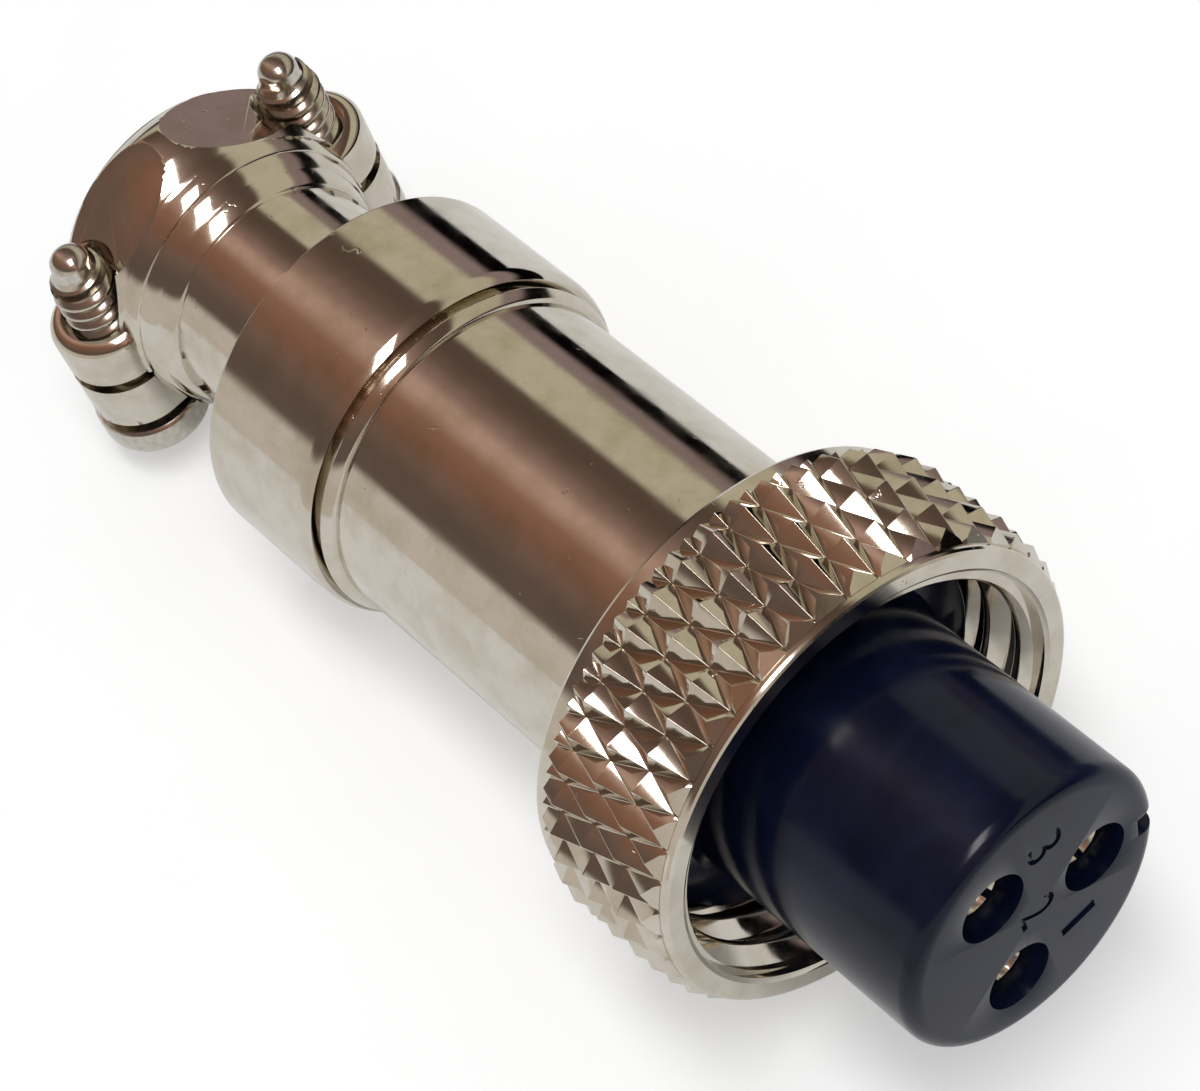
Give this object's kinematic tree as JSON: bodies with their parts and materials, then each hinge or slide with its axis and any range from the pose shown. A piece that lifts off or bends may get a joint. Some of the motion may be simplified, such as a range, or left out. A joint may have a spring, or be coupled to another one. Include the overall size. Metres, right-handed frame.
{
  "type": "circular cable plug connector",
  "caption": "Round metal cable plug with a knurled coupling nut, a black keyed nose with contact holes, and a two-screw cable clamp at the rear.",
  "frame": {"origin": "centre of the mating nose's flat face", "axes": "+X along the plug's axis towards the mating end; +Z along the clamp screws from heads to tips; +Y towards the right-hand clamp screw"},
  "size_m": [0.0463, 0.019, 0.019],
  "materials": {
    "nickel_plating": "polished",
    "nickel_knurl": "bright, knurled",
    "black_insert": "glossy",
    "grey_insulator": "moulded",
    "plated_contact": "bright",
    "plated_screw": "polished",
    "dark_steel": "plain"
  },
  "bodies": {
    "plug_body": {"shell": "nickel_plating", "retaining_sleeve": "nickel_plating", "front_insulator": "black_insert", "rear_insulator": "grey_insulator", "socket_contact_1": "plated_contact", "socket_contact_2": "plated_contact", "socket_contact_3": "plated_contact", "lock_screw": "dark_steel"},
    "nut": {"coupling_nut": "nickel_knurl"},
    "saddle": {"clamp_saddle": "nickel_plating"},
    "left_screw": {"clamp_screw_left": "plated_screw"},
    "right_screw": {"clamp_screw_right": "plated_screw"}
  },
  "joints": [
    {"name": "nut_spin", "type": "hinge", "parent": "plug_body", "child": "nut", "pos_m": [-0.011, 0, 0], "axis": [1, 0, 0], "continuous": true},
    {"name": "clamp_open", "type": "slide", "parent": "plug_body", "child": "saddle", "axis": [0, 0, -1], "range_m": [0, 0.003]},
    {"name": "left_screw_turn", "type": "hinge", "parent": "saddle", "child": "left_screw", "pos_m": [-0.0441, -0.0053, 0], "axis": [0, 0, -1], "range_deg": [0, 2400.5]},
    {"name": "right_screw_turn", "type": "hinge", "parent": "saddle", "child": "right_screw", "pos_m": [-0.0441, 0.0053, 0], "axis": [0, 0, -1], "range_deg": [0, 2400.5]}
  ],
  "couplings": [
    {"joint": "left_screw_turn", "follows": "clamp_open", "rad_per_m": 13963},
    {"joint": "right_screw_turn", "follows": "clamp_open", "rad_per_m": 13963}
  ]
}
